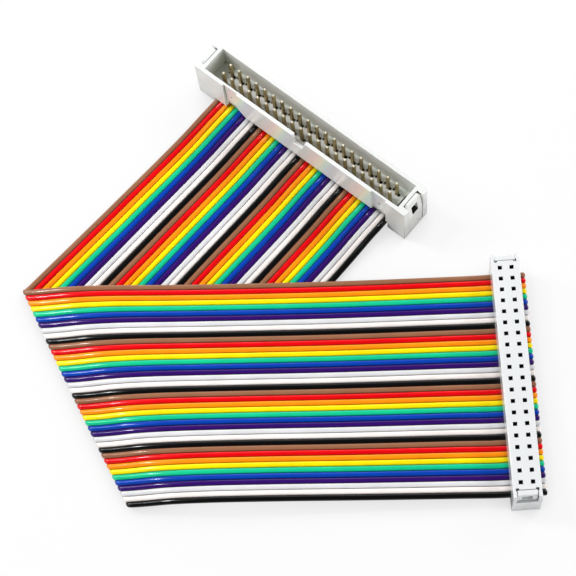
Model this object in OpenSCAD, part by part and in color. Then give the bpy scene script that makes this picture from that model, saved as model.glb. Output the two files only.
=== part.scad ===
// Rainbow ribbon cable: bonded wires folded once on the diagonal, from a shrouded
// pin plug to a pin socket. Both connectors stand on their covers with their
// mating faces up, and the ribbon passes between housing and cover in each.
// Millimetres. The origin is the middle of the socket's base, +Y runs along the
// socket towards the first wire, and +Z leaves its mating face.

/* [Ribbon] */
// Contacts in each of a connector's two rows; the ribbon has twice as many wires
positions = 20; // [12:1:20]
// Distance from one contact to the next; the wires lie at half of it
pitch = 2.54; // [2.50:0.01:2.60]
// Thickness of the ribbon over the crown of a wire
wire_h = 0.95; // [0.80:0.05:1.10]
// Height of the bond between two neighbouring wires
bond_h = 0.40; // [0.30:0.05:0.50]

/* [Both connectors] */
// Distance between the two rows of contacts
row_gap = 2.54; // [2.50:0.01:2.60]
// Side of the square pins
pin_w = 0.64; // [0.60:0.01:0.70]
// Thickness of the sheet that the forks and springs are cut from
blade_t = 0.30; // [0.25:0.05:0.40]
// Opening of a fork, which grips the copper inside the wire
fork_slit = 0.28; // [0.24:0.02:0.34]
// Width of one tine of a fork
tine_w = 0.30; // [0.25:0.01:0.32]
// Room round each metal contact in its housing
contact_gap = 0.05; // [0.03:0.01:0.08]
// Room between a latch arm and its channel
latch_gap = 0.15; // [0.10:0.05:0.25]
// Outward reach of the catch that a latch arm snaps over
catch_reach = 0.55; // [0.40:0.05:0.65]
// Depth of the bevel on the edges of a mating face
edge_bevel = 0.20; // [0.10:0.05:0.30]

/* [Plug] */
// Where the middle of the plug stands, along X
plug_x = -40.9; // [-42.0:0.1:-40.0]
// Where the middle of the plug stands, along Y
plug_y = 60.2; // [59.0:0.1:61.0]
// Turn of the plug from the socket's direction, in degrees
plug_turn = 47.6; // [46.0:0.1:49.0]
// Height of the plug from the base of its cover to its rim
plug_h = 13.5; // [13.0:0.1:14.5]
// Width over the plug's end blocks
plug_w = 8.2; // [8.0:0.1:9.0]
// Width of the cavity that takes the mating connector
cavity_w = 6.4; // [6.2:0.1:6.6]
// Depth of the cavity below the rim
cavity_d = 6.3; // [6.0:0.1:6.6]
// Room in the cavity beyond the last pin at each end
cavity_end = 3.9; // [3.6:0.1:4.2]
// Length of the plug beyond the cavity at each end
plug_end = 2.6; // [2.5:0.1:3.2]
// How far the pin tips lie below the rim
tip_drop = 0.3; // [0.1:0.1:0.8]
// Thickness of the plug's cover under the ribbon
plug_cover_t = 2.25; // [2.00:0.05:2.60]
// Height of the skirt's lower edge at the first wire's end
skirt_first_z = 1.4; // [1.0:0.1:2.0]
// Height of the skirt's lower edge at the last wire's end
skirt_last_z = 0.4; // [0.2:0.1:1.4]
// How much shorter the plug is at its base than at its rim, at each end
end_draft = 0.2; // [0.0:0.1:0.6]
// Length of the front face's block at the first wire's end
block_first_l = 8.6; // [8.0:0.1:9.0]
// Length of the front face's block at the last wire's end
block_last_l = 5.6; // [5.0:0.1:6.5]
// How far the blocks and panels stand proud of the long walls
wall_inset = 0.4; // [0.3:0.05:0.5]
// Height of the panels' lower edge
panel_z = 4.5; // [4.2:0.1:5.2]
// Height of the long walls' lower edge between the panels
wall_z = 6.2; // [5.6:0.1:6.6]
// Width of the slot for the mating connector's key
key_w = 3.6; // [3.0:0.1:4.5]
// Depth of that slot below the rim
key_d = 3.6; // [3.0:0.1:4.5]
// Shift of that slot along the front wall
key_shift = -0.35; // [-0.5:0.05:0.5]
// Gap between a panel and the end block beside it
panel_gap = 4.0; // [3.0:0.1:4.5]
// Width of the windows that the latch arms snap over the catches with
plug_window_w = 2.0; // [1.8:0.1:3.0]

/* [Socket] */
// Height of the socket from the base of its cover to its mating face
socket_h = 10.5; // [10.0:0.1:11.5]
// Width of the socket across its rows
socket_w = 6.1; // [5.9:0.1:6.6]
// Length of the socket beyond the last contact at each end
socket_end = 3.3; // [3.2:0.1:4.2]
// Thickness of the socket's cover under the ribbon
socket_cover_t = 2.95; // [2.6:0.05:3.2]
// Side of the square holes that take the pins
hole_w = 0.9; // [0.8:0.05:1.0]
// Depth of those holes before they widen round the springs
hole_d = 1.2; // [1.0:0.1:1.6]
// Height of the cover's full-width ends
shoulder_z = 6.3; // [5.8:0.1:6.8]
// Width of the windows in the cover's latch arms
socket_window_w = 2.1; // [1.8:0.1:2.6]

/* [Hidden] */
// One colour for each wire of a group of ten, and its name
COLOURS = [
    ["brown", "#8a5f4d"], ["red", "#d8141c"], ["orange", "#f58a1f"], ["yellow", "#f7e017"],
    ["green", "#1fae7d"], ["blue", "#1547a8"], ["violet", "#3b1c6e"], ["grey", "#c9c9cc"],
    ["white", "#f4efec"], ["black", "#161616"]
];
SHELL = "#d9dbd8";
BRASS = "#a8935a";
EPS = 0.01;

wires = 2 * positions;
wire_pitch = pitch / 2;
pin_span = (positions - 1) * pitch;
wire_span = (wires - 1) * wire_pitch;
ribbon_w = wires * wire_pitch;

// Heights of the ribbon's middle in each connector, and of the housing over it
plug_wire_z = plug_cover_t + wire_h / 2;
plug_seat_z = plug_cover_t + wire_h;
socket_wire_z = socket_cover_t + wire_h / 2;
socket_seat_z = socket_cover_t + wire_h;

// Plug, measured from its middle
carrier_side = 1.75;
plug_l = pin_span + 2 * (cavity_end + plug_end);
cavity_l = pin_span + 2 * cavity_end;
floor_z = plug_h - cavity_d;
front_x = -plug_w / 2;
wall_x = plug_w / 2 - wall_inset;
carrier_w = row_gap + 2 * carrier_side;
block_first_y = plug_l / 2 - block_first_l;
block_last_y = -plug_l / 2 + block_last_l;
corner_r = 0.4;
slot_y = ribbon_w / 2 + latch_gap;
end_wall_t = 0.85;
channel_y = cavity_l / 2 + end_wall_t;
plug_arm_t = 0.7;
plug_arm_w = 4.7;
plug_arm_inset = 0.1;
plug_catch_z = plug_h - 2.0;
plug_window_h = 2.7;
plug_ramp_h = 1.4;
panel_cut_first = 1.9;
panel_cut_last = 0.3;
groove_w = 0.35;
groove_d = 0.3;

// Marks of the mould's cores
core_d = 1.2;
core_w = 0.6;
core_l = 0.5;
core_x = row_gap / 2 + 0.53;
core_slit_w = 0.3;
core_slit_y = -pin_span / 2 - 1.95;
dimple_r = 0.4;
dimple_z = floor_z + 1.8;

// Socket, measured from its middle
socket_l = pin_span + 2 * socket_end;
body_y = pin_span / 2 + 1.6;
socket_arm_t = 1.0;
socket_arm_w = 4.2;
spring_w = hole_w + 0.5;
socket_catch_z = socket_h - 1.6;
socket_window_h = 2.3;
socket_ramp_h = 1.8;
relief_w = 0.65;
relief_h = 1.5;

// Ridges between the wires, well under the bond that they point at
ridge_h = 0.65 * (wire_h - bond_h) / 2;

// Room beside a catch in its window, and the height of its upright face
catch_side = 0.1;
catch_face = 0.35;

// Forks: pocket and shoulder sizes shared by both connectors
fork_h = 1.5;
fork_w = fork_slit + 2 * tine_w;
shoulder_h = 0.45;

// Stations along the ribbon, chosen where it bends: the first list follows the
// outermost brown wire and the second the outermost black one. They leave the
// plug, settle on the table, turn over at the diagonal fold, spring up in a low
// crown and come down to the socket. The third list is how far the ribbon's middle
// sags towards -Y from the straight line between them.
ROUTE_HALF_W = 24.765;
ROUTE_FIRST = [
    [-65.4, 70.5, 2.2], [-70.8, 65.3, 1.2], [-85.0, 51.6, 0.6], [-106.5, 30.8, 0.5],
    [-107.1, 30.2, 0.8], [-107.3, 29.8, 1.5], [-106.9, 29.4, 2.2], [-106.0, 29.2, 2.5],
    [-102.5, 29.0, 3.1], [-98.0, 28.8, 3.8], [-90.0, 28.5, 4.0], [-72.0, 27.7, 3.0],
    [-42.0, 26.4, 2.3], [-14.0, 25.2, 2.9]
];
ROUTE_LAST = [
    [-28.9, 37.0, 2.2], [-34.4, 31.4, 1.2], [-48.6, 16.8, 0.6], [-84.0, -20.0, 0.5],
    [-84.6, -20.5, 0.75], [-84.8, -20.9, 1.4], [-84.4, -21.2, 2.05], [-83.6, -21.3, 2.3],
    [-80.0, -21.5, 3.2], [-75.5, -21.7, 4.3], [-67.0, -22.1, 5.1], [-52.0, -22.7, 4.8],
    [-35.0, -23.4, 4.0], [-14.0, -24.3, 3.4]
];
ROUTE_SAG = [0, 0, 0.1, 0.6, 0.6, 0.6, 0.6, 0.6, 0.6, 0.5, 0.4, 0.2, 0.1, 0];
// How far the ribbon runs straight out of a connector before its first bend
LEAD = 0.5;
// How far the trimmed wires stand out behind each connector
TAIL_PLUG = 0.3;
TAIL_SOCKET = 1.7;
LAST = len(ROUTE_FIRST) + 3;

function wire_name(i) =
    str("wire_", i < 10 ? "0" : "", i, "_", COLOURS[(i - 1) % len(COLOURS)][0]);

// ---- ribbon ----

function unit(v) = v / norm(v);

// A point in the plug's own directions, carried to where the plug stands
function at_plug(p) = [
    plug_x + p[0] * cos(plug_turn) - p[1] * sin(plug_turn),
    plug_y + p[0] * sin(plug_turn) + p[1] * cos(plug_turn),
    p[2]
];

// The ribbon's middle surface: station k along it, t millimetres off its centre
function station(k, t) =
    k <= 0 ? at_plug([carrier_w / 2 + TAIL_PLUG, t, plug_wire_z])
    : k == 1 ? at_plug([front_x - LEAD, t, plug_wire_z])
    : k == LAST - 1 ? [-socket_w / 2 - LEAD, t, socket_wire_z]
    : k >= LAST ? [socket_w / 2 + TAIL_SOCKET, t, socket_wire_z]
    : ROUTE_LAST[k - 2]
        + (ROUTE_FIRST[k - 2] - ROUTE_LAST[k - 2]) * (0.5 + t / (2 * ROUTE_HALF_W))
        - [0, ROUTE_SAG[k - 2] * (1 - pow(t / ROUTE_HALF_W, 2)), 0];

// Upward side of the surface there, square to the wires and to the ribbon's width
function lift(k, t) =
    unit(cross(
        station(k, ROUTE_HALF_W) - station(k, -ROUTE_HALF_W),
        station(min(k + 1, LAST), t) - station(max(k - 1, 0), t)
    ));

// The eight corners of one wire's section. The two bonds use the same points as
// the neighbouring wires, so the wires meet face to face.
function ring(k, t) =
    let (side = wire_pitch / 2, crown = wire_pitch / 4)
    [for (c = [
        [side, bond_h], [crown, wire_h], [-crown, wire_h], [-side, bond_h],
        [-side, -bond_h], [-crown, -wire_h], [crown, -wire_h], [side, -bond_h]
    ]) station(k, t + c[0]) + lift(k, t + c[0]) * c[1] / 2];

// Two triangles for each side of each stretch. Both wires at a bond split it
// along the same diagonal.
function skin_faces(k) =
    [for (j = [0:7], half = [0, 1])
        let (
            a = 8 * k + j,
            b = 8 * k + (j + 1) % 8,
            c = b + 8,
            d = a + 8
        )
        j == 7 ? (half == 0 ? [a, d, b] : [b, d, c]) : (half == 0 ? [a, d, c] : [a, c, b])];

module wire(i) {
    t = wire_span / 2 - (i - 1) * wire_pitch;
    color(COLOURS[(i - 1) % len(COLOURS)][1])
    polyhedron(
        points = [for (k = [0:LAST]) each ring(k, t)],
        faces = concat(
            [for (k = [0:LAST - 1]) each skin_faces(k)],
            [[for (j = [0:7]) j]],
            [[for (j = [7:-1:0]) 8 * LAST + j]]
        )
    );
}

// ---- shared shapes ----

// A box given by its corners
module box(low, high) {
    translate(low) cube(high - low);
}

// A box whose upper long edges are bevelled, centred on x = 0
module bevelled_bar(w, y0, y1, z0, z1, bevel) {
    translate([0, y1, 0])
    rotate([90, 0, 0])
    linear_extrude(y1 - y0)
    polygon([
        [-w / 2, z0], [w / 2, z0], [w / 2, z1 - bevel],
        [w / 2 - bevel, z1], [-w / 2 + bevel, z1], [-w / 2, z1 - bevel]
    ]);
}

// Copies its child onto every contact place of one row
module along_row(x) {
    for (n = [0:positions - 1])
        translate([x, pin_span / 2 - n * pitch, 0]) children();
}

// Copies its child onto both ends, turned to face outwards
module both_ends() {
    children();
    rotate([0, 0, 180]) children();
}

// The catch on a housing's end: flat on top, ramped below, reaching out along +Y
module latch_catch(w, y, z_top, ramp) {
    translate([-w / 2, 0, 0])
    rotate([90, 0, 90])
    linear_extrude(w)
    polygon([[y - EPS, z_top - ramp], [y, z_top - ramp], [y + catch_reach, z_top - catch_face],
        [y + catch_reach, z_top], [y - EPS, z_top]]);
}

// The ridges between neighbouring wires on the top of a cover
module ridges(w, z) {
    for (n = [1:wires - 1])
        translate([-w / 2, wire_span / 2 - (n - 0.5) * wire_pitch, z])
        rotate([90, 0, 90])
        linear_extrude(w)
        polygon([[-ridge_h * 1.1, -EPS], [ridge_h * 1.1, -EPS], [0, ridge_h]]);
}

// The fork that grips a wire: two pointed tines under a shoulder, which reaches
// over to the contact it carries. It stands on the wire's crown, and side says
// which way the wire lies from the contact.
module fork(side, z0) {
    mid = side * wire_pitch / 2;
    translate([-blade_t / 2, 0, z0])
    rotate([90, 0, 90])
    linear_extrude(blade_t)
    difference() {
        polygon([
            [mid - fork_w / 2, 0], [mid + fork_w / 2, 0],
            [mid + fork_w / 2, fork_h - shoulder_h],
            [max(mid + fork_w / 2, pin_w / 2), fork_h - shoulder_h],
            [max(mid + fork_w / 2, pin_w / 2), fork_h],
            [min(mid - fork_w / 2, -pin_w / 2), fork_h],
            [min(mid - fork_w / 2, -pin_w / 2), fork_h - shoulder_h],
            [mid - fork_w / 2, fork_h - shoulder_h]
        ]);
        polygon([
            [mid - fork_w / 4, -EPS], [mid + fork_w / 4, -EPS], [mid + fork_slit / 2, fork_slit],
            [mid + fork_slit / 2, fork_h - shoulder_h], [mid - fork_slit / 2, fork_h - shoulder_h],
            [mid - fork_slit / 2, fork_slit]
        ]);
    }
}

// The pocket that a fork stands in
module fork_pocket(side, z0) {
    g = contact_gap;
    mid = side * wire_pitch / 2;
    low = min(mid - fork_w / 2, -pin_w / 2) - g;
    high = max(mid + fork_w / 2, pin_w / 2) + g;
    box([-blade_t / 2 - g, low, z0 - EPS], [blade_t / 2 + g, high, z0 + fork_h + g]);
}

// ---- plug ----

module at_plug_place() {
    translate([plug_x, plug_y, 0]) rotate([0, 0, plug_turn]) children();
}

// A square pin with a pointed tip, from z0 to z1
module pin(z0, z1) {
    tip = pin_w * 0.8;
    blunt = pin_w * 0.2;
    outline = [
        [-pin_w / 2, z0], [pin_w / 2, z0], [pin_w / 2, z1 - tip],
        [blunt, z1], [-blunt, z1], [-pin_w / 2, z1 - tip]
    ];
    intersection() {
        translate([0, pin_w / 2, 0]) rotate([90, 0, 0]) linear_extrude(pin_w) polygon(outline);
        translate([-pin_w / 2, 0, 0]) rotate([90, 0, 90]) linear_extrude(pin_w) polygon(outline);
    }
}

// One row of pins; the shoulder of each fork carries its pin
module plug_pin_row(x, side) {
    color(BRASS) at_plug_place() along_row(x) {
        fork(side, plug_seat_z);
        pin(plug_seat_z + fork_h, plug_h - tip_drop);
    }
}

module plug_pins_front() plug_pin_row(-row_gap / 2, 1);

module plug_pins_back() plug_pin_row(row_gap / 2, -1);

// The opening in the cavity's floor round a pin, longer than the pin by the
// core that shaped it
module pin_slot() {
    g = contact_gap;
    core = 0.45;
    box([-pin_w / 2 - g, -pin_w / 2 - core, plug_seat_z + fork_h],
        [pin_w / 2 + g, pin_w / 2 + g, floor_z + EPS]);
}

// An end block between two heights, with its outer corners rounded
module end_block(y_inner, z0, z1) {
    s = sign(y_inner);
    outer = s * plug_l / 2;
    translate([0, 0, z0])
    linear_extrude(z1 - z0)
    union() {
        translate([-plug_w / 2, min(y_inner, outer - s * corner_r)])
            square([plug_w, abs(outer - y_inner) - corner_r]);
        translate([-plug_w / 2 + corner_r, min(y_inner, outer)])
            square([plug_w - 2 * corner_r, abs(outer - y_inner)]);
        for (side = [-1, 1])
            translate([side * (plug_w / 2 - corner_r), outer - s * corner_r])
            circle(r = corner_r, $fn = 32);
    }
}

// A raised panel of a long wall, from y0 to y1, its lower corner at y1 cut off
module wall_panel(y0, y1, cut) {
    translate([-plug_w / 2, 0, 0])
    rotate([90, 0, 90])
    linear_extrude(plug_w / 2)
    polygon([
        [y0, panel_z], [y1 - sign(y1) * cut, panel_z], [y1, panel_z + 0.85 * cut],
        [y1, plug_h], [y0, plug_h]
    ]);
}

// The slot for the key: upright on one side, leaning on the other
module key_slot() {
    y0 = key_shift - key_w / 2;
    y1 = key_shift + key_w / 2;
    translate([front_x - EPS, 0, 0])
    rotate([90, 0, 90])
    linear_extrude(-front_x - cavity_w / 2 + 2 * EPS)
    polygon([
        [y0, plug_h + EPS], [y0 + 0.25 * key_w, plug_h - key_d],
        [y1 - edge_bevel, plug_h - key_d], [y1, plug_h - key_d + edge_bevel], [y1, plug_h + EPS]
    ]);
}

// Everything between the plug's two sloping ends, which close in by the draft
module end_slopes(inset) {
    y1 = plug_l / 2 - inset;
    y0 = y1 - end_draft;
    translate([-plug_w, 0, 0])
    rotate([90, 0, 90])
    linear_extrude(2 * plug_w)
    polygon([[-y0, 0], [y0, 0], [y1, plug_h], [-y1, plug_h]]);
}

module plug_shell() {
    y = plug_l / 2 - corner_r;
    // The carrier that presses the ribbon onto the cover, and the long walls
    // round the cavity; the back wall is as thick as the panels all along
    box([-carrier_w / 2, -y, plug_seat_z], [carrier_w / 2, y, floor_z]);
    box([-wall_x, -y, wall_z], [plug_w / 2, y, plug_h]);
    // Blocks with skirts that reach down past the ribbon's edges
    end_block(block_first_y, plug_seat_z, plug_h);
    end_block(block_last_y, plug_seat_z, plug_h);
    end_block(slot_y, skirt_first_z, plug_seat_z + EPS);
    end_block(-slot_y, skirt_last_z, plug_seat_z + EPS);
    // Panels beside the key slot in front
    wall_panel(0, block_first_y - panel_gap, panel_cut_first);
    wall_panel(0, block_last_y + panel_gap, panel_cut_last);
}

module plug_housing() {
    color(SHELL) at_plug_place()
    intersection() {
        end_slopes(0);
        difference() {
            plug_shell();
            // Cavity for the mating connector
            box([-cavity_w / 2, -cavity_l / 2, floor_z],
                [cavity_w / 2, cavity_l / 2, plug_h + EPS]);
            // Room for the cover between the end blocks' skirts
            box([-carrier_w / 2 - latch_gap, -channel_y, -EPS],
                [carrier_w / 2 + latch_gap, channel_y, plug_seat_z]);
            key_slot();
            // Channels for the cover's latch arms, open to the ends
            both_ends() difference() {
                box([-plug_arm_w / 2 - latch_gap, channel_y, -EPS],
                    [plug_arm_w / 2 + latch_gap, plug_l / 2 + EPS, plug_h + EPS]);
                latch_catch(plug_window_w - 2 * catch_side, channel_y, plug_catch_z, plug_ramp_h);
            }
            // Openings for the contacts
            for (row = [[-1, 1], [1, -1]])
                along_row(row[0] * row_gap / 2) {
                    pin_slot();
                    fork_pocket(row[1], plug_seat_z);
                }
            core_marks();
            // Groove where the first block meets the wall
            box([-wall_x - EPS, block_first_y - groove_w, wall_z - EPS],
                [-wall_x + groove_d, block_first_y, plug_h - 2 * edge_bevel]);
        }
    }
}

// Marks of the mould's cores: square holes between the pins of the back row, a
// slit past the last pins, and dimples in the recesses beside the front panels
module core_marks() {
    along_row(core_x)
        translate([0, pitch / 2, floor_z - core_d / 2 + EPS])
        cube([core_w, core_l, core_d], center = true);
    translate([0, core_slit_y, floor_z - core_d / 2 + EPS])
        cube([1.5 * row_gap, core_slit_w, core_d], center = true);
    for (y = [block_first_y, block_last_y + panel_gap])
        translate([-wall_x, y - panel_gap / 2, dimple_z])
        rotate([0, 90, 0])
        cylinder(r = dimple_r, h = 2 * groove_d, $fn = 24, center = true);
}

// A latch arm of the plug's cover: thick below and thinner towards its top, with
// cut corners and a window for the housing's catch
module plug_arm() {
    root_y = channel_y - latch_gap - EPS;
    y0 = channel_y + latch_gap;
    y1 = plug_l / 2 - plug_arm_inset;
    thick_z = floor_z + 0.6;
    window_top = plug_catch_z + latch_gap / 2;
    half = plug_arm_w / 2;
    corner = 0.6;
    difference() {
        intersection() {
            end_slopes(plug_arm_inset);
            translate([-half, 0, 0])
            rotate([90, 0, 90])
            linear_extrude(plug_arm_w)
            polygon([
                [root_y, 0], [y1, 0], [y1, thick_z], [y0 + plug_arm_t, plug_h], [y0, plug_h],
                [y0, plug_cover_t], [root_y, plug_cover_t]
            ]);
            translate([0, plug_l / 2, 0])
            rotate([90, 0, 0])
            linear_extrude(plug_l / 2)
            polygon([
                [-half, 0], [half, 0], [half, plug_h - corner], [half - corner, plug_h],
                [-half + corner, plug_h], [-half, plug_h - corner]
            ]);
        }
        box([-plug_window_w / 2, y0 - EPS, window_top - plug_window_h],
            [plug_window_w / 2, plug_l / 2, window_top]);
        translate([-half / 2, y1, plug_cover_t])
            rotate([90, 0, 0])
            cylinder(r = dimple_r, h = 1, $fn = 24, center = true);
    }
}

module plug_cover() {
    base_y = channel_y - latch_gap;
    color(SHELL) at_plug_place() {
        box([-carrier_w / 2, -base_y, 0], [carrier_w / 2, base_y, plug_cover_t]);
        // Pads that close the gap beyond the outer wires
        for (s = [-1, 1])
            translate([0, s * (slot_y + base_y) / 2, plug_cover_t + wire_h / 2])
            cube([carrier_w, base_y - slot_y, wire_h], center = true);
        ridges(carrier_w, plug_cover_t);
        both_ends() plug_arm();
    }
}

// ---- socket ----

// A contact of the socket: a fork below, and two springs that lean together to
// grip a pin
module socket_contact(side) {
    z0 = socket_seat_z + fork_h;
    z1 = socket_h - hole_d - 0.3;
    far = spring_w / 2 - contact_gap;
    near = pin_w / 2 - 0.04;
    fork(side, socket_seat_z);
    translate([0, pin_w / 2, 0])
    rotate([90, 0, 0])
    linear_extrude(pin_w)
    polygon(concat(
        [[-far, z0], [far, z0], [far, z0 + 1.2], [near + blade_t * 0.6, z1 - 0.8],
            [far, z1], [far - blade_t * 0.6, z1], [near, z1 - 0.8], [far - blade_t * 0.6, z0 + 1.2],
            [far - blade_t * 0.6, z0 + 0.4]],
        [[-far + blade_t * 0.6, z0 + 0.4], [-far + blade_t * 0.6, z0 + 1.2], [-near, z1 - 0.8],
            [-far + blade_t * 0.6, z1], [-far, z1], [-near - blade_t * 0.6, z1 - 0.8], [-far, z0 + 1.2]]
    ));
}

module socket_contacts_left() {
    color(BRASS) along_row(-row_gap / 2) socket_contact(1);
}

module socket_contacts_right() {
    color(BRASS) along_row(row_gap / 2) socket_contact(-1);
}

// The hole that takes a pin, wider below round the springs
module pin_hole() {
    z0 = socket_seat_z + fork_h;
    box([-hole_w / 2, -hole_w / 2, z0], [hole_w / 2, hole_w / 2, socket_h + EPS]);
    box([-spring_w / 2, -pin_w / 2 - contact_gap, z0],
        [spring_w / 2, pin_w / 2 + contact_gap, socket_h - hole_d]);
}

module socket_housing() {
    post_w = (socket_w - socket_arm_w) / 2 - latch_gap;
    color(SHELL)
    difference() {
        union() {
            bevelled_bar(socket_w, -body_y, body_y, socket_seat_z, socket_h, edge_bevel);
            both_ends()
                latch_catch(socket_window_w - 2 * catch_side, body_y, socket_catch_z, socket_ramp_h);
            // Posts beside the latch arms
            intersection() {
                bevelled_bar(
                    socket_w, -socket_l / 2, socket_l / 2, shoulder_z + latch_gap, socket_h, edge_bevel
                );
                for (sx = [-1, 1], sy = [-1, 1])
                    translate([sx * (socket_w - post_w) / 2, sy * (body_y + socket_l / 2) / 2, socket_h / 2])
                    cube([post_w, socket_l / 2 - body_y + 2 * EPS, socket_h], center = true);
            }
        }
        for (row = [[-1, 1], [1, -1]])
            along_row(row[0] * row_gap / 2) {
                pin_hole();
                fork_pocket(row[1], socket_seat_z);
            }
        // Square reliefs at the inner corners of the latch channels
        for (sx = [-1, 1], sy = [-1, 1])
            translate([sx * socket_arm_w / 2, sy * body_y, socket_h])
            cube([relief_w, relief_w, 2 * relief_h], center = true);
    }
}

// A latch arm of the socket's cover, flush with the mating face
module socket_arm() {
    y0 = body_y + latch_gap;
    window_top = socket_catch_z + latch_gap / 2;
    difference() {
        box([-socket_arm_w / 2, y0, 0], [socket_arm_w / 2, y0 + socket_arm_t, socket_h]);
        box([-socket_window_w / 2, y0 - EPS, window_top - socket_window_h],
            [socket_window_w / 2, y0 + socket_arm_t + EPS, window_top]);
    }
}

module socket_cover() {
    inner = body_y + latch_gap;
    color(SHELL) {
        box([-socket_w / 2, -inner, 0], [socket_w / 2, inner, socket_cover_t]);
        for (s = [-1, 1])
            translate([0, s * (ribbon_w / 2 + inner) / 2, socket_cover_t + wire_h / 2])
            cube([socket_w, inner - ribbon_w / 2 - 2 * contact_gap, wire_h], center = true);
        ridges(socket_w, socket_cover_t);
        both_ends() {
            socket_arm();
            box([-socket_w / 2, inner - EPS, 0], [socket_w / 2, socket_l / 2, shoulder_z]);
        }
    }
}

plug_housing();
plug_cover();
plug_pins_front();
plug_pins_back();
socket_housing();
socket_cover();
socket_contacts_left();
socket_contacts_right();
for (i = [1:wires])
    wire(i);
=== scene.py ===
"""Dresses the rainbow ribbon cable: forty bonded wires between a pin plug and a pin socket.

Lengths are metres in the part's own frame: the origin is the middle of the socket's
base, +Y runs along the socket towards the first wire, and +Z leaves its mating face.
Only the stations of the ribbon's route are in millimetres.
"""

import logging
import math
from dataclasses import dataclass, field
from enum import Enum

import bpy
import numpy as np
from mathutils import Matrix, Vector


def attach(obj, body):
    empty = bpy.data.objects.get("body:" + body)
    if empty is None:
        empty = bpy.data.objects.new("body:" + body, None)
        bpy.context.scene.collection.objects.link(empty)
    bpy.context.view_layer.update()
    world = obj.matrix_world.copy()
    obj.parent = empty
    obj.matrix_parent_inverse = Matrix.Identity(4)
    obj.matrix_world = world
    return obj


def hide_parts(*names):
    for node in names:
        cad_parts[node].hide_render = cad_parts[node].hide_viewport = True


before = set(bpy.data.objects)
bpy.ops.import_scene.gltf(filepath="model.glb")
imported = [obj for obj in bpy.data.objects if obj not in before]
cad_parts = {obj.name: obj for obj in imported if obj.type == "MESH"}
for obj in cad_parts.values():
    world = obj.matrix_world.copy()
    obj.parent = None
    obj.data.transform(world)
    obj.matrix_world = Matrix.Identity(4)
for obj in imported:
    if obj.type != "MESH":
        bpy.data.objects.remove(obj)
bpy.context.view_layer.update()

MM = 0.001
IMAGE_SIDE = 576
ROOT = "root"
WHITE = (1.0, 1.0, 1.0)
UP = np.array((0.0, 0.0, 1.0))
# The plug's middle in millimetres and its turn in degrees
PLUG_MIDDLE = (-40.9, 60.2)
PLUG_TURN = 47.6
log = logging.getLogger("ribbon_cable")

Point = tuple[float, float, float]
Colour = tuple[float, float, float]


def linear(code: str) -> Colour:
    """Turns a screen colour into the scene's linear one, by the screen's own curve.

    Args:
        code: Six hexadecimal digits, red first.

    Returns:
        The three linear values.
    """
    values = [int(code[i : i + 2], 16) / 255 for i in (0, 2, 4)]
    return tuple(v / 12.92 if v <= 0.04045 else ((v + 0.055) / 1.055) ** 2.4 for v in values)


def tinted(colour: Colour, factor: float) -> Colour:
    """Returns the colour with each channel multiplied by factor and kept under 1."""
    return tuple(min(1.0, c * factor) for c in colour)


# Shader maths


class Signal:
    """A shader socket that takes part in Python expressions."""

    def __init__(self, sheet: "Sheet", socket: bpy.types.NodeSocket) -> None:
        """Keeps the socket and the sheet of nodes that it belongs to."""
        self.sheet = sheet
        self.socket = socket

    def _math(self, operation: str, first: object, second: object) -> "Signal":
        """Adds one Math node and returns its result."""
        return self.sheet.add("ShaderNodeMath", {"operation": operation}, {0: first, 1: second})

    def __add__(self, other: object) -> "Signal":
        """Returns self + other."""
        return self._math("ADD", self, other)

    __radd__ = __add__

    def __sub__(self, other: object) -> "Signal":
        """Returns self - other."""
        return self._math("SUBTRACT", self, other)

    def __rsub__(self, other: object) -> "Signal":
        """Returns other - self."""
        return self._math("SUBTRACT", other, self)

    def __mul__(self, other: object) -> "Signal":
        """Returns self * other."""
        return self._math("MULTIPLY", self, other)

    __rmul__ = __mul__

    def __abs__(self) -> "Signal":
        """Returns the size of self without its sign."""
        return self._math("ABSOLUTE", self, 0.0)


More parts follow.
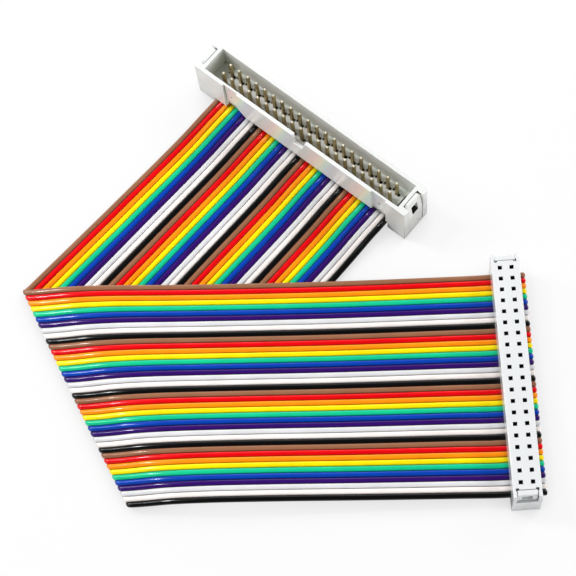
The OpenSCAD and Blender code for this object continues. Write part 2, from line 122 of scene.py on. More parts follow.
class Sheet:
    """The node sheet of one material or world."""

    # The Mix node's sockets for colours share their names with its sockets for numbers
    MIX_FACTOR, MIX_FIRST, MIX_SECOND, MIX_RESULT = 0, 6, 7, 2
    NOISE_ROUGHNESS = 0.55
    OPENNESS_SAMPLES = 8

    def __init__(self, owner: bpy.types.ID) -> None:
        """Empties the owner's node tree and keeps it."""
        owner.use_nodes = True
        self.tree = owner.node_tree
        self.tree.nodes.clear()

    def add(
        self,
        kind: str,
        settings: dict[str, object] | None = None,
        inputs: dict[object, object] | None = None,
        out: object = 0,
    ) -> Signal:
        """Adds one node.

        Args:
            kind: The node's type.
            settings: Its settings, set before the inputs.
            inputs: A value or a Signal for each named or numbered input.
            out: The name or number of the output to return.

        Returns:
            The chosen output, or the node's first input when it has no output.
        """
        node = self.tree.nodes.new(kind)
        for name, value in (settings or {}).items():
            setattr(node, name, value)
        for name, value in (inputs or {}).items():
            socket = node.inputs[name]
            if isinstance(value, Signal):
                self.tree.links.new(value.socket, socket)
            elif socket.type == "RGBA":
                socket.default_value = (*value, 1.0)
            else:
                socket.default_value = value
        return Signal(self, node.outputs[out] if len(node.outputs) else node.inputs[0])

    def place(self) -> Signal:
        """Returns the point on the object, in metres."""
        return self.add("ShaderNodeTexCoord", out="Object")

    def part_of(self, vector: Signal, axis: int) -> Signal:
        """Returns one coordinate of a vector: 0 for X, 1 for Y, 2 for Z."""
        return self.add("ShaderNodeSeparateXYZ", {}, {"Vector": vector}, out=axis)

    def grain(self, scale: float, detail: float = 3.0, stretch: Point = (1.0, 1.0, 1.0)) -> Signal:
        """Adds a noise pattern fixed to the object.

        Args:
            scale: Cells per metre.
            detail: Octaves of the noise.
            stretch: How the pattern is scaled along X, Y and Z.

        Returns:
            The noise, from 0 to 1.
        """
        where = self.add(
            "ShaderNodeMapping",
            {"vector_type": "POINT"},
            {"Vector": self.place(), "Scale": stretch},
        )
        return self.add(
            "ShaderNodeTexNoise",
            {"noise_dimensions": "3D"},
            {
                "Vector": where,
                "Scale": scale,
                "Detail": detail,
                "Roughness": self.NOISE_ROUGHNESS,
            },
        )

    def spread(
        self,
        value: Signal,
        low: float,
        high: float,
        to_low: float = 0.0,
        to_high: float = 1.0,
    ) -> Signal:
        """Maps value from low..high to to_low..to_high and clamps it."""
        return self.add(
            "ShaderNodeMapRange",
            {"clamp": True},
            {
                "Value": value,
                "From Min": low,
                "From Max": high,
                "To Min": to_low,
                "To Max": to_high,
            },
        )

    def blend(self, factor: Signal, first: object, second: object) -> Signal:
        """Mixes two colours: factor 0 gives the first and 1 the second."""
        return self.add(
            "ShaderNodeMix",
            {"data_type": "RGBA"},
            {self.MIX_FACTOR: factor, self.MIX_FIRST: first, self.MIX_SECOND: second},
            out=self.MIX_RESULT,
        )

    def either(self, factor: object, first: Signal, second: Signal) -> Signal:
        """Mixes two shaders: factor 0 gives the first and 1 the second."""
        return self.add("ShaderNodeMixShader", {}, {0: factor, 1: first, 2: second})

    def for_camera(self, others: Signal, camera: Signal) -> Signal:
        """Shows the camera one shader and every other ray another."""
        seen = self.add("ShaderNodeLightPath", out="Is Camera Ray")
        return self.either(seen, others, camera)

    def openness(self, reach: float, alone: bool = True) -> Signal:
        """Returns how freely light reaches a point, from 0 to 1.

        Args:
            reach: How far away a wall still shades the point, in metres.
            alone: Whether only the point's own solid shades it.
        """
        return self.add(
            "ShaderNodeAmbientOcclusion",
            {"samples": self.OPENNESS_SAMPLES, "only_local": alone},
            {"Distance": reach},
            out="AO",
        )

    def bump(
        self,
        height: Signal,
        strength: float,
        distance: float,
        normal: Signal | None = None,
    ) -> Signal:
        """Adds a Bump node on top of a normal, if one is given, and returns its normal."""
        inputs = {"Height": height, "Strength": strength, "Distance": distance}
        if normal is not None:
            inputs["Normal"] = normal
        return self.add("ShaderNodeBump", {}, inputs)


# Finishes


@dataclass(frozen=True)
class Finish:
    """A surface finish that becomes one material."""

    name: str
    colour: Colour

    def material(self) -> bpy.types.Material:
        """Builds the material and returns it."""
        material = bpy.data.materials.new(self.name)
        material.diffuse_color = (*self.colour, 1.0)
        sheet = Sheet(material)
        shader = self.shader(sheet)
        sheet.add("ShaderNodeOutputMaterial", {}, {"Surface": shader})
        return material

    def mottled(self, sheet: Sheet, clouds: Signal, tints: tuple[float, float]) -> Signal:
        """Returns the finish's colour, which drifts between two tints of it.

        Args:
            sheet: The material's sheet.
            clouds: The noise that it drifts with.
            tints: The deeper and the paler tint, as factors.
        """
        deep, pale = (tinted(self.colour, factor) for factor in tints)
        return sheet.blend(sheet.spread(clouds, 0.3, 0.7), deep, pale)

    def shader(self, sheet: Sheet) -> Signal:
        """Returns the finish's shader."""
        raise NotImplementedError


@dataclass(frozen=True)
class Insulation(Finish):
    """Soft glossy PVC drawn round a wire, slightly clouded, and darkened by painted shade in its
    hollows.

    Attributes:
        roughness: The roughness of its smoothest spots.
        clouding: How much rougher it gets in clouds, where hands have dulled it.
        graining: How much rougher it gets in its fine grain.
        tints: The deeper and the paler tint that its colour drifts between.
        ior: How strongly it bends light.
        reach: How far away a wall still darkens it with painted shade, in metres.
        hollow_shade_tint: The tint of the painted shade, where light hardly gets in.
    """

    roughness: float = 0.13
    clouding: float = 0.05
    graining: float = 0.04
    tints: tuple[float, float] = (0.94, 1.05)
    ior: float = 1.43
    reach: float = 3.0 * MM
    hollow_shade_tint: float = 0.42

    def shader(self, sheet: Sheet) -> Signal:
        """Returns glossy coloured plastic, with painted shade where light hardly gets in."""
        clouds = sheet.grain(180.0, 2.0)
        fine = sheet.grain(2600.0)
        # Painted shade: the colour darkens towards a deep tint of itself where walls, neighbouring
        # wires or the table keep the light off.
        lit = sheet.spread(sheet.openness(self.reach, alone=False), 0.30, 0.78)
        hollow_shade = tinted(self.colour, self.hollow_shade_tint)
        dulled = sheet.spread(clouds, 0.35, 0.75)
        return sheet.add(
            "ShaderNodeBsdfPrincipled",
            {},
            {
                "Base Color": sheet.blend(lit, hollow_shade, self.mottled(sheet, clouds, self.tints)),
                "Roughness": self.roughness + self.clouding * dulled + self.graining * fine,
                "IOR": self.ior,
                "Normal": sheet.bump(fine, 0.02, 0.01 * MM),
            },
        )


@dataclass(frozen=True)
class LatchWindowShade:
    """Painted shade behind the latch windows at both ends of the plug, where light hardly gets in.

    Attributes:
        half_width: Half of a window's width.
        inner: How far from the plug's middle the dark begins.
        low: The window's lower edge.
        high: The window's upper edge.
        soft: How gradually the dark ends at each edge.
        shade: The painted shade colour in there.
    """

    half_width: float = 0.95 * MM
    inner: float = 28.8 * MM
    low: float = 8.6 * MM
    high: float = 11.6 * MM
    soft: float = 0.04 * MM
    shade: Colour = (0.008, 0.009, 0.008)

    def mask(self, sheet: Sheet) -> Signal:
        """Returns 1 where the painted shade goes, inside the windows, and 0 elsewhere."""
        cos, sin = math.cos(math.radians(PLUG_TURN)), math.sin(math.radians(PLUG_TURN))
        x, y, z = (sheet.part_of(sheet.place(), axis) for axis in range(3))
        x, y = x - PLUG_MIDDLE[0] * MM, y - PLUG_MIDDLE[1] * MM
        across, along = abs(x * cos + y * sin), abs(y * cos - x * sin)
        return (
            sheet.spread(across, self.half_width - self.soft, self.half_width, 1.0, 0.0)
            * sheet.spread(along, self.inner - self.soft, self.inner)
            * sheet.spread(z, self.low - self.soft, self.low)
            * sheet.spread(z, self.high, self.high + self.soft, 1.0, 0.0)
        )


@dataclass(frozen=True)
class MouldedPlastic(Finish):
    """Injection-moulded plastic with soft edges, faint flow marks, and painted shade in its
    hollows and gaps.

    Attributes:
        hollow_shade: The painted shade colour where its own walls keep the light off.
        reach: How far away a wall still does that, in metres.
        roughness: The roughness of its smoothest spots.
        crevice_shade: The painted shade colour of the narrowest gaps round it, if it is told.
        crevice_reach: How far away a wall still makes a gap for that painted shade, in metres.
        windows: The painted shade behind its latch windows, if it is told.
        flow_roughness: How much rougher the flow marks are.
        graining: How much rougher it gets in its fine grain.
        tints: The deeper and the paler tint that its colour drifts between.
        ior: How strongly it bends light.
        edge_radius: How far the light runs round its edges, in metres.
    """

    hollow_shade: Colour
    reach: float
    roughness: float
    crevice_shade: Colour | None = None
    crevice_reach: float = 1.7 * MM
    windows: LatchWindowShade | None = None
    flow_roughness: float = 0.06
    graining: float = 0.03
    tints: tuple[float, float] = (0.96, 1.02)
    ior: float = 1.55
    edge_radius: float = 0.08 * MM

    def shader(self, sheet: Sheet) -> Signal:
        """Returns smooth pale plastic, with painted shade in its hollows, gaps and latch windows.
        """
        flow = sheet.grain(90.0, 4.0, (1.0, 0.5, 1.6))
        fine = sheet.grain(3200.0, 2.0)
        # Painted shade: the colour turns towards a darker one deep in cavities and holes, and
        # towards a near-black one in the narrowest gaps.
        lit = sheet.spread(sheet.openness(self.reach), 0.12, 0.72)
        colour = sheet.blend(lit, self.hollow_shade, self.mottled(sheet, flow, self.tints))
        if self.crevice_shade is not None:
            gap = sheet.openness(self.crevice_reach, alone=False)
            colour = sheet.blend(sheet.spread(gap, 0.12, 0.36), self.crevice_shade, colour)
        if self.windows is not None:
            # Painted shade: a near-black colour laid on what shows through the latch windows.
            colour = sheet.blend(self.windows.mask(sheet), colour, self.windows.shade)
        edge = sheet.add("ShaderNodeBevel", {"samples": 4}, {"Radius": self.edge_radius})
        return sheet.add(
            "ShaderNodeBsdfPrincipled",
            {},
            {
                "Base Color": colour,
                "Roughness": self.roughness + self.flow_roughness * flow + self.graining * fine,
                "IOR": self.ior,
                "Normal": sheet.bump(fine, 0.10, 0.02 * MM, edge),
            },
        )


@dataclass(frozen=True)
class PlatedMetal(Finish):
    """Thinly plated metal with draw lines along its length, slight tarnish and a painted highlight
    on its tips.

    Attributes:
        tarnish: The colour of its dull spots.
        roughness: The roughness of its smoothest spots.
        tip: The pale colour painted on the tips as a highlight.
        tip_height: Where the tips begin, in metres.
        metallic: How metallic its sides are.
        tip_metallic: How metallic the tips are.
    """

    tarnish: Colour
    roughness: float
    tip: Colour = (0.95, 0.90, 0.74)
    tip_height: float = 12.9 * MM
    metallic: float = 0.88
    tip_metallic: float = 0.23

    def shader(self, sheet: Sheet) -> Signal:
        """Returns shiny metal, with a painted highlight above the height where the tips begin:
        paler and less metallic.
        """
        lines = sheet.grain(3000.0, 3.0, (1.0, 1.0, 0.08))
        dull = sheet.spread(sheet.grain(420.0, 4.0), 0.40, 0.70)
        height = sheet.part_of(sheet.place(), 2)
        # Painted highlight: above the tip height the colour turns pale and mostly diffuse, so the
        # tips look lit.
        tip = sheet.spread(height, self.tip_height - 0.2 * MM, self.tip_height + 0.1 * MM)
        side = sheet.blend(dull, self.colour, self.tarnish)
        return sheet.add(
            "ShaderNodeBsdfPrincipled",
            {},
            {
                "Base Color": sheet.blend(tip, side, self.tip),
                "Metallic": self.metallic - (self.metallic - self.tip_metallic) * tip,
                "Roughness": self.roughness + 0.14 * dull + 0.10 * lines,
                "Normal": sheet.bump(lines, 0.15, 0.02 * MM),
            },
        )


class WireColour(Enum):
    """The ten insulation colours, in the order they lie in the ribbon."""

    BROWN = "946448"
    RED = "e2000a"
    ORANGE = "ff9008"
    YELLOW = "f8e000"
    GREEN = "0cc38c"
    BLUE = "003eac"
    VIOLET = "300666"
    GREY = "dadadd"
    WHITE = "f2eae6"
    BLACK = "020202"

    @property
    def word(self) -> str:
        """The colour's word, as it stands in node and slot names."""
        return self.name.lower()


@dataclass(frozen=True)
class Finishes:
    """Every finish of the cable."""

    # Both plastics carry painted shade: the plug's cavity, gap and latch-window colours, and the
    # socket's near-black holes.
    plug: MouldedPlastic = MouldedPlastic(
        "plug plastic",
        linear("e2e4e2"),
        hollow_shade=linear("d0dacc"),
        reach=5.0 * MM,
        roughness=0.17,
        crevice_shade=(0.01, 0.011, 0.01),
        windows=LatchWindowShade(),
    )
    socket: MouldedPlastic = MouldedPlastic(
        "socket plastic",
        linear("e2e4e5"),
        hollow_shade=linear("060606"),
        reach=2.2 * MM,
        roughness=0.03,
    )
    brass: PlatedMetal = PlatedMetal(
        "plated brass", linear("b8a064"), tarnish=linear("7a6a3c"), roughness=0.24
    )
    copper: PlatedMetal = PlatedMetal(
        "bare copper", linear("e0a07c"), tarnish=linear("b06a48"), roughness=0.28
    )

    def wires(self) -> dict[WireColour, bpy.types.Material]:
        """Returns one insulation material for each colour."""
        return {
            colour: Insulation(f"{colour.word} insulation", linear(colour.value)).material()
            for colour in WireColour
        }


# Meshes


def new_object(
    name: str,
    points: np.ndarray,
    faces: list[list[int]],
    smooth: bool = True,
) -> bpy.types.Object:
    """Makes a mesh object at the origin.

    Args:
        name: The object's name.
        points: Its corners, in metres.
        faces: Corner numbers of each face.
        smooth: Whether its faces are shaded smooth.

    Returns:
        The new object, linked to the scene.
    """
    mesh = bpy.data.meshes.new(name)
    mesh.from_pydata([tuple(p) for p in points], [], faces)
    mesh.validate()
    mesh.polygons.foreach_set("use_smooth", [smooth] * len(mesh.polygons))
    mesh.update()
    obj = bpy.data.objects.new(name, mesh)
    bpy.context.scene.collection.objects.link(obj)
    return obj


@dataclass
class Surface:
    """The ribbon's middle surface.

    Attributes:
        first: Points along the middle of the first wire.
        last: The same for the last wire.
        sag: How far the ribbon sags towards -Y halfway between them, at each point.
        half_width: Half of the distance between those two wires.
    """

    first: np.ndarray
    last: np.ndarray
    sag: np.ndarray
    half_width: float

    def line(self, across: float) -> np.ndarray:
        """Returns the points of the line that runs across metres off the middle, in metres."""
        share = across / self.half_width
        straight = self.last + (self.first - self.last) * (0.5 + share / 2)
        return straight - np.outer(self.sag * (1 - share**2), (0.0, 1.0, 0.0))


@dataclass
class Route:
    """The stations that the ribbon passes on its way from the plug to the socket.

    Every length here is in millimetres.

    Attributes:
        first: Stations of the first wire's middle, between the connectors.
        last: The same for the last wire.
        sag: How far the ribbon sags towards -Y halfway between them, at each station.
        half_width: Half of the distance between those two wires.
        table_height: The lowest that a wire's middle can lie.
        plug_exit: Where the ribbon leaves the plug, from the plug's middle plane.
        plug_tail: Where it ends beyond the plug.
        plug_height: How high it lies in the plug.
        socket_exit: Where the ribbon leaves the socket, from the socket's middle plane.
        socket_tail: Where it ends beyond the socket.
        socket_height: How high it lies in the socket.
        fewest_points: Fewest points laid between two stations.
    """

    first: list[Point] = field(default_factory=lambda: [
        (-65.4, 70.5, 2.2), (-70.8, 65.3, 1.2), (-85.0, 51.6, 0.6), (-106.5, 30.8, 0.5),
        (-107.1, 30.2, 0.8), (-107.3, 29.8, 1.5), (-106.9, 29.4, 2.2), (-106.0, 29.2, 2.5),
        (-102.5, 29.0, 3.1), (-98.0, 28.8, 3.8), (-90.0, 28.5, 4.0), (-72.0, 27.7, 3.0),
        (-42.0, 26.4, 2.3), (-14.0, 25.2, 2.9),
    ])
    last: list[Point] = field(default_factory=lambda: [
        (-28.9, 37.0, 2.2), (-34.4, 31.4, 1.2), (-48.6, 16.8, 0.6), (-84.0, -20.0, 0.5),
        (-84.6, -20.5, 0.75), (-84.8, -20.9, 1.4), (-84.4, -21.2, 2.05), (-83.6, -21.3, 2.3),
        (-80.0, -21.5, 3.2), (-75.5, -21.7, 4.3), (-67.0, -22.1, 5.1), (-52.0, -22.7, 4.8),
        (-35.0, -23.4, 4.0), (-14.0, -24.3, 3.4),
    ])
    sag: tuple[float, ...] = (0, 0, 0.1, 0.6, 0.6, 0.6, 0.6, 0.6, 0.6, 0.5, 0.4, 0.2, 0.1, 0)
    half_width: float = 24.765
    table_height: float = 0.49
    plug_exit: float = -4.6
    plug_tail: float = 3.32
    plug_height: float = 2.725
    socket_exit: float = -3.55
    socket_tail: float = 4.6
    socket_height: float = 3.425
    fewest_points: int = 4

    def _guide(self, side: float) -> np.ndarray:
        """Returns all stations of the first wire, for side 1, or the last, for side -1."""
        cos, sin = math.cos(math.radians(PLUG_TURN)), math.sin(math.radians(PLUG_TURN))
        across = side * self.half_width
        head = [
            (
                PLUG_MIDDLE[0] + along * cos - across * sin,
                PLUG_MIDDLE[1] + along * sin + across * cos,
                self.plug_height,
            )
            for along in (self.plug_tail, self.plug_exit)
        ]
        middle = self.first if side > 0 else self.last
        tail = [(x, across, self.socket_height) for x in (self.socket_exit, self.socket_tail)]
        return np.array(head + list(middle) + tail)

    def surface(self, steps: int) -> Surface:
        """Runs smooth curves through the stations.

        Args:
            steps: Most points laid between two stations.

        Returns:
            The ribbon's middle surface in metres, nowhere below where the table lets it lie.
        """
        first, last = self._guide(1.0), self._guide(-1.0)
        spans = np.linalg.norm(np.diff((first + last) / 2, axis=0), axis=1)
        knots = np.concatenate([[0.0], np.cumsum(np.sqrt(spans))])
        places = np.concatenate([
            np.linspace(knots[i], knots[i + 1], self._count(spans[i], steps), endpoint=False)
            for i in range(len(spans))
        ] + [knots[-1:]])
        sag = np.array([(0.0, 0.0, *self.sag, 0.0, 0.0)]).T
        first, last, sag = (self._spline(each, knots, places) for each in (first, last, sag))
        for guide in (first, last):
            guide[:, 2] = np.maximum(guide[:, 2], self.table_height)
        return Surface(first * MM, last * MM, sag[:, 0] * MM, self.half_width * MM)

    def _count(self, span: float, steps: int) -> int:
        """Returns how many points a span gets: more for a longer one, and at most steps."""
        return max(self.fewest_points, min(steps, int(2 + span)))

    @staticmethod
    def _spline(stations: np.ndarray, knots: np.ndarray, places: np.ndarray) -> np.ndarray:
        """Runs a cubic through the stations, with slopes from their neighbours.

        Args:
            stations: One row of coordinates for each station.
            knots: The curve's parameter at each station.
            places: The parameters to evaluate it at.

        Returns:
            One row of coordinates for each place.
        """
        slopes = np.empty_like(stations)
        slopes[0] = (stations[1] - stations[0]) / (knots[1] - knots[0])
        slopes[-1] = (stations[-1] - stations[-2]) / (knots[-1] - knots[-2])
        for i in range(1, len(knots) - 1):
            before, after = knots[i] - knots[i - 1], knots[i + 1] - knots[i]
            left = (stations[i] - stations[i - 1]) / before
            right = (stations[i + 1] - stations[i]) / after
            slopes[i] = (left * after + right * before) / (before + after)
        slopes[1], slopes[-2] = slopes[0], slopes[-1]
        out = np.empty((len(places), stations.shape[1]))
        for n, u in enumerate(places):
            i = int(min(np.searchsorted(knots, u, side="right") - 1, len(knots) - 2))
            h = knots[i + 1] - knots[i]
            s = (u - knots[i]) / h
            out[n] = (
                (2 * s**3 - 3 * s**2 + 1) * stations[i]
                + (s**3 - 2 * s**2 + s) * h * slopes[i]
                + (3 * s**2 - 2 * s**3) * stations[i + 1]
                + (s**3 - s**2) * h * slopes[i + 1]
            )
        return out


@dataclass
class Ribbon:
    """Forty insulated wires bonded side by side, each a cord of its own.

    Attributes:
        route: The way that the ribbon lies.
        finishes: The finishes of the cable.
        wires: How many wires it has.
        pitch: The distance between two wires.
        height: The height of a wire.
        bond: The height of the web between two wires.
        fullness: The power that rounds the outline: 1 gives an ellipse, less a fuller one.
        section_points: Points on the upper half of the outline, and as many below.
        steps: Most points laid between two stations of the route.
        end_round: How long the rounding at a trimmed end is.
        end_angles: The angles of its rings, in degrees.
        strand_radius: The radius of a copper strand.
        strand_rings: How far each ring of a strand stands out, and its share of the radius.
        strand_corners: Corners of a strand.
    """

    route: Route
    finishes: Finishes
    wires: int = 40
    pitch: float = 1.27 * MM
    height: float = 0.95 * MM
    bond: float = 0.26 * MM
    fullness: float = 0.8
    section_points: int = 9
    steps: int = 10
    end_round: float = 0.32 * MM
    end_angles: tuple[float, ...] = (0.0, 25.0, 45.0, 62.0)
    strand_radius: float = 0.055 * MM
    strand_rings: tuple[tuple[float, float], ...] = (
        (-0.03 * MM, 1.0), (0.03 * MM, 1.0), (0.05 * MM, 0.6),
    )
    strand_corners: int = 8

    def _section(self) -> np.ndarray:
        """Returns the wire's outline as (across, up) pairs, bonds at both sides."""
        half, crown = self.pitch / 2, self.height / 2
        reach = math.asin(self.bond / self.height)
        width = half / math.cos(reach) ** self.fullness
        top = []
        for i in range(self.section_points):
            angle = reach + (math.pi - 2 * reach) * i / (self.section_points - 1)
            across = abs(math.cos(angle)) ** self.fullness
            top.append((width * math.copysign(across, math.cos(angle)), crown * math.sin(angle)))
        top[0], top[-1] = (half, self.bond / 2), (-half, self.bond / 2)
        return np.array(top + [(-x, -y) for x, y in top])

    def _wire_mesh(self, index: int, surface: Surface) -> tuple[np.ndarray, np.ndarray]:
        """Sweeps the section along one wire.

        Args:
            index: The wire's number, from 1.
            surface: The ribbon's middle surface.

        Returns:
            The wire's centre line, and its rings of corners with both ends rounded.
        """
        across = ((self.wires + 1) / 2 - index) * self.pitch
        ruling = surface.first - surface.last
        centre = surface.line(across)
        section = self._section()
        rings = np.empty((len(centre), len(section), 3))
        for j, (side, up) in enumerate(section):
            line = surface.line(across + side)
            tangent = np.gradient(line, axis=0)
            lift = np.cross(ruling, tangent)
            lift /= np.linalg.norm(lift, axis=1)[:, None]
            rings[:, j] = line + lift * up
        start = self._rounded(rings[0], centre[0], centre[0] - centre[1])
        end = self._rounded(rings[-1], centre[-1], centre[-1] - centre[-2])
        return centre, np.concatenate([start[::-1], rings[1:-1], end])

    def _rounded(self, ring: np.ndarray, centre: np.ndarray, outward: np.ndarray) -> np.ndarray:
        """Returns the rings of a rounded end, from the full section to the tip.

        Args:
            ring: The section's corners at the end.
            centre: The section's middle.
            outward: Any vector that points out of the end.
        """
        axis = outward / np.linalg.norm(outward)
        angles = np.radians(self.end_angles)
        out = []
        for angle in angles:
            back = axis * self.end_round * (math.sin(angle) / math.sin(angles[-1]) - 1)
            out.append(centre + (ring - centre) * math.cos(angle) + back)
        return np.array(out)

    @staticmethod
    def _faces(rings: int, corners: int) -> list[list[int]]:
        """Returns the quads between the rings and the two end caps."""
        faces = []
        for k in range(rings - 1):
            for j in range(corners):
                a, b = k * corners + j, k * corners + (j + 1) % corners
                faces.append([a, a + corners, b + corners, b])
        faces.append(list(range(corners)))
        faces.append(list(range(rings * corners - 1, (rings - 1) * corners - 1, -1)))
        return faces

    def build(self) -> None:
        """Builds the wires, hangs each on the root body and hides the plain wire that it stands in
        for.
        """
        surface = self.route.surface(self.steps)
        materials = self.finishes.wires()
        colours = list(WireColour)
        ends: list[tuple[np.ndarray, np.ndarray]] = []
        for index in range(1, self.wires + 1):
            colour = colours[(index - 1) % len(colours)]
            node = f"wire_{index:02d}_{colour.word}"
            centre, rings = self._wire_mesh(index, surface)
            count, corners = rings.shape[:2]
            wire = new_object(
                f"insulation_{index:02d}_{colour.word}",
                rings.reshape(-1, 3),
                self._faces(count, corners),
            )
            wire.data.materials.append(materials[colour])
            for face in wire.data.polygons[-2:]:
                face.use_smooth = False
            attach(wire, ROOT)
            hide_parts(node)
            ends.append((centre[0], centre[0] - centre[1]))
            ends.append((centre[-1], centre[-1] - centre[-2]))
        self._build_copper(ends)

    def _build_copper(self, ends: list[tuple[np.ndarray, np.ndarray]]) -> None:
        """Builds the seven strands that show at each trimmed end.

        Args:
            ends: The middle of each end, and any vector that points out of it.
        """
        points: list[np.ndarray] = []
        faces: list[list[int]] = []
        corners = self.strand_corners
        spots = [(0.0, 0.0)] + [(math.cos(a), math.sin(a)) for a in np.arange(6) * math.pi / 3]
        for centre, outward in ends:
            axis = outward / np.linalg.norm(outward)
            side = np.cross(axis, UP)
            for u, v in spots:
                middle = centre + 2 * self.strand_radius * (u * side + v * UP)
                start = len(points)
                for reach, size in self.strand_rings:
                    for k in range(corners):
                        turn = k * 2 * math.pi / corners
                        spoke = math.cos(turn) * side + math.sin(turn) * UP
                        points.append(middle + axis * reach + spoke * self.strand_radius * size)
                for ring in range(len(self.strand_rings) - 1):
                    for k in range(corners):
                        a = start + ring * corners + k
                        b = start + ring * corners + (k + 1) % corners
                        faces.append([a, b, b + corners, a + corners])
                faces.append(list(range(len(points) - corners, len(points))))
        copper = new_object("copper_strands", np.array(points), faces)
        copper.data.materials.append(self.finishes.copper.material())
        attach(copper, ROOT)
        log.info("%s: %d trimmed ends", copper.name, len(ends))


@dataclass
class Connector:
    """One connector: its solids come from the frame and get their finish here.

    Attributes:
        shell: The nodes of its housing and cover.
        contacts: The nodes of its two rows of contacts.
        plastic: The finish of the shell.
        metal: The finish of the contacts.
    """

    shell: tuple[str, ...]
    contacts: tuple[str, ...]
    plastic: MouldedPlastic
    metal: PlatedMetal

    def dress(self) -> None:
        """Gives the solids their materials."""
        plastic, metal = self.plastic.material(), self.metal.material()
        for names, material in ((self.shell, plastic), (self.contacts, metal)):
            for name in names:
                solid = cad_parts[name]
                if not solid.material_slots:
                    solid.data.materials.append(material)
                for place in solid.material_slots:
                    place.material = material
                log.info("%s: %s", name, material.name)


# Studio


@dataclass(frozen=True)
class Lamp:
    """One square soft lamp: where it hangs, the length of its side, and its watts."""

    name: str
    place: Point
    side: float
    power: float


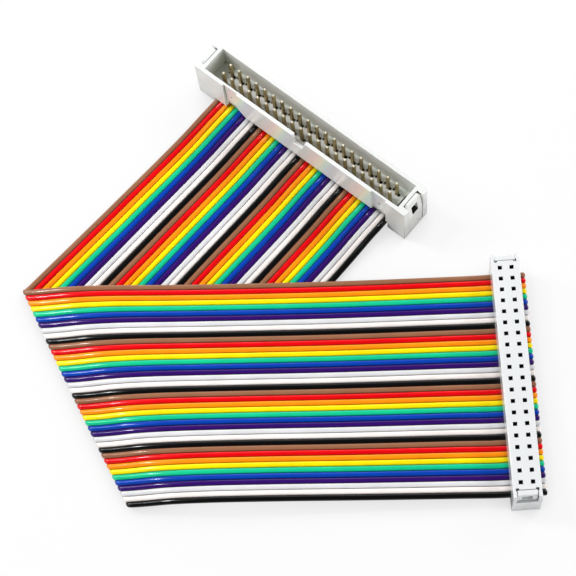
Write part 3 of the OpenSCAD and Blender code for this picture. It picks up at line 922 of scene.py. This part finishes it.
@dataclass
class Studio:
    """Pale floor, soft lamps and the camera of the photograph.

    Attributes:
        camera_place: Where the camera stands.
        camera_forward: Where it looks.
        camera_right: What lies on its right.
        focal_pixels: Its focal length, in pixels of the picture.
        sensor: The width of its sensor, in millimetres.
        nearest: The nearest that it sees.
        aim: What the lamps face.
        lamps: The soft lamps.
        overhead: The room's strength everywhere, and so the one overhead.
        band: How much stronger it is low down.
        strip: How much stronger it is in a narrow strip behind the cable.
        floor_side: The side of the square floor.
        floor_gap: How far the floor lies under the part.
        floor_paper: The floor's colour as the camera sees its lit paper.
        floor_bounce: The floor's colour for the light that it throws back.
        floor_painted_shadow: The glow's colour in the painted contact shadow right beside the
            part.
        floor_glow: The share of the glow in what the camera sees.
        contact_reach: How far from the part the painted contact shadow reaches.
    """

    camera_place: Point = (-0.02993, -0.12733, 0.39101)
    camera_forward: Point = (-0.043063, 0.366770, -0.929315)
    camera_right: Point = (0.996637, -0.049127, -0.065572)
    focal_pixels: float = 1875.4
    sensor: float = 36.0
    nearest: float = 0.01
    aim: Point = (-0.045, 0.02, 0.0)
    lamps: tuple[Lamp, ...] = (
        Lamp("window", (-0.60, 0.22, 0.42), 0.26, 2.55),
        Lamp("spark", (-0.408, 0.215, 0.617), 0.09, 2.4),
        Lamp("far_panel", (0.444, 0.363, 0.501), 0.34, 2.9),
    )
    overhead: float = 0.12
    band: float = 2.2
    strip: float = 1.5
    floor_side: float = 3.0
    floor_gap: float = 0.02 * MM
    floor_paper: Colour = (0.76, 0.76, 0.76)
    floor_bounce: Colour = (0.62, 0.62, 0.62)
    floor_painted_shadow: Colour = (0.76, 0.76, 0.77)
    floor_glow: float = 0.87
    contact_reach: float = 6.0 * MM

    def place_camera(self) -> None:
        """Makes the camera and hands it to the scene."""
        data = bpy.data.cameras.new("camera")
        data.sensor_width = self.sensor
        data.lens = self.focal_pixels / IMAGE_SIDE * self.sensor
        data.clip_start = self.nearest
        camera = bpy.data.objects.new("camera", data)
        forward = Vector(self.camera_forward).normalized()
        right = Vector(self.camera_right).normalized()
        axes = Matrix((right, right.cross(forward), -forward)).transposed().to_4x4()
        camera.matrix_world = Matrix.Translation(self.camera_place) @ axes
        bpy.context.scene.collection.objects.link(camera)
        bpy.context.scene.camera = camera

    def _hang(self, lamp: Lamp) -> None:
        """Hangs one lamp, turned to face the aim."""
        data = bpy.data.lights.new(lamp.name, "AREA")
        data.shape = "SQUARE"
        data.size = lamp.side
        data.energy = lamp.power
        hung = bpy.data.objects.new(lamp.name, data)
        hung.location = lamp.place
        toward = Vector(self.aim) - Vector(lamp.place)
        hung.rotation_euler = toward.to_track_quat("-Z", "Y").to_euler()
        bpy.context.scene.collection.objects.link(hung)

    def light(self) -> None:
        """Sets the world and hangs the lamps.

        The room is a bright band low down, brightest at the right front for the plug's
        near end, with a narrow strip behind the cable that gives the far sides of the
        wires a shine. It is nearly dark overhead, so that flat tops keep their colour.
        The camera sees it white.
        """
        world = bpy.data.worlds.new("studio")
        bpy.context.scene.world = world
        sheet = Sheet(world)
        toward = sheet.add("ShaderNodeTexCoord", out="Generated")
        right, ahead, above = (sheet.part_of(toward, axis) for axis in range(3))
        front = sheet.spread(right - ahead, 0.8, 1.4, 0.55, 3.0)
        band = sheet.spread(above, 0.02, 0.45, 1.0, 0.0) * front
        strip = sheet.spread(above, 0.40, 0.85, 1.0, 0.0) * sheet.spread(ahead, 0.0, 0.2)
        strip = strip * sheet.spread(abs(right), 0.12, 0.45, 1.0, 0.0)
        strength = self.overhead + self.band * band + self.strip * strip
        room, white = (
            sheet.add("ShaderNodeBackground", {}, {"Color": WHITE, "Strength": value})
            for value in (strength, 1.0)
        )
        sheet.add("ShaderNodeOutputWorld", {}, {"Surface": sheet.for_camera(room, white)})
        for lamp in self.lamps:
            self._hang(lamp)

    def build_floor(self) -> None:
        """Builds the pale floor.

        The camera sees lit paper with a white glow that turns into a painted contact shadow
        beside the part, and the part is lit by what plain paper throws back.
        """
        half, low = self.floor_side / 2, -self.floor_gap
        corners = [(-half, -half, low), (half, -half, low), (half, half, low), (-half, half, low)]
        floor = new_object("floor", np.array(corners), [[0, 1, 2, 3]], smooth=False)
        material = bpy.data.materials.new("floor paper")
        sheet = Sheet(material)
        paper, bounce = (
            sheet.add("ShaderNodeBsdfDiffuse", {}, {"Color": colour})
            for colour in (self.floor_paper, self.floor_bounce)
        )
        painted_shadow, bright = (
            sheet.add("ShaderNodeEmission", {}, {"Color": colour, "Strength": 1.0})
            for colour in (self.floor_painted_shadow, WHITE)
        )
        # Painted shadow: the glow dims where the part stands close by.
        away = sheet.spread(sheet.openness(self.contact_reach, alone=False), 0.25, 0.90)
        shown = sheet.either(self.floor_glow, paper, sheet.either(away, painted_shadow, bright))
        surface = sheet.for_camera(bounce, shown)
        sheet.add("ShaderNodeOutputMaterial", {}, {"Surface": surface})
        floor.data.materials.append(material)


def main() -> None:
    """Builds the camera, the cable and the studio in order."""
    logging.basicConfig(level=logging.INFO, format="%(name)s %(message)s")
    bpy.context.scene.view_settings.view_transform = "Standard"
    studio = Studio()
    studio.place_camera()
    finishes = Finishes()
    Ribbon(Route(), finishes).build()
    Connector(
        ("plug_housing", "plug_cover"),
        ("plug_pins_front", "plug_pins_back"),
        finishes.plug,
        finishes.brass,
    ).dress()
    Connector(
        ("socket_housing", "socket_cover"),
        ("socket_contacts_left", "socket_contacts_right"),
        finishes.socket,
        finishes.brass,
    ).dress()
    studio.light()
    studio.build_floor()


if __name__ == "__main__":
    main()
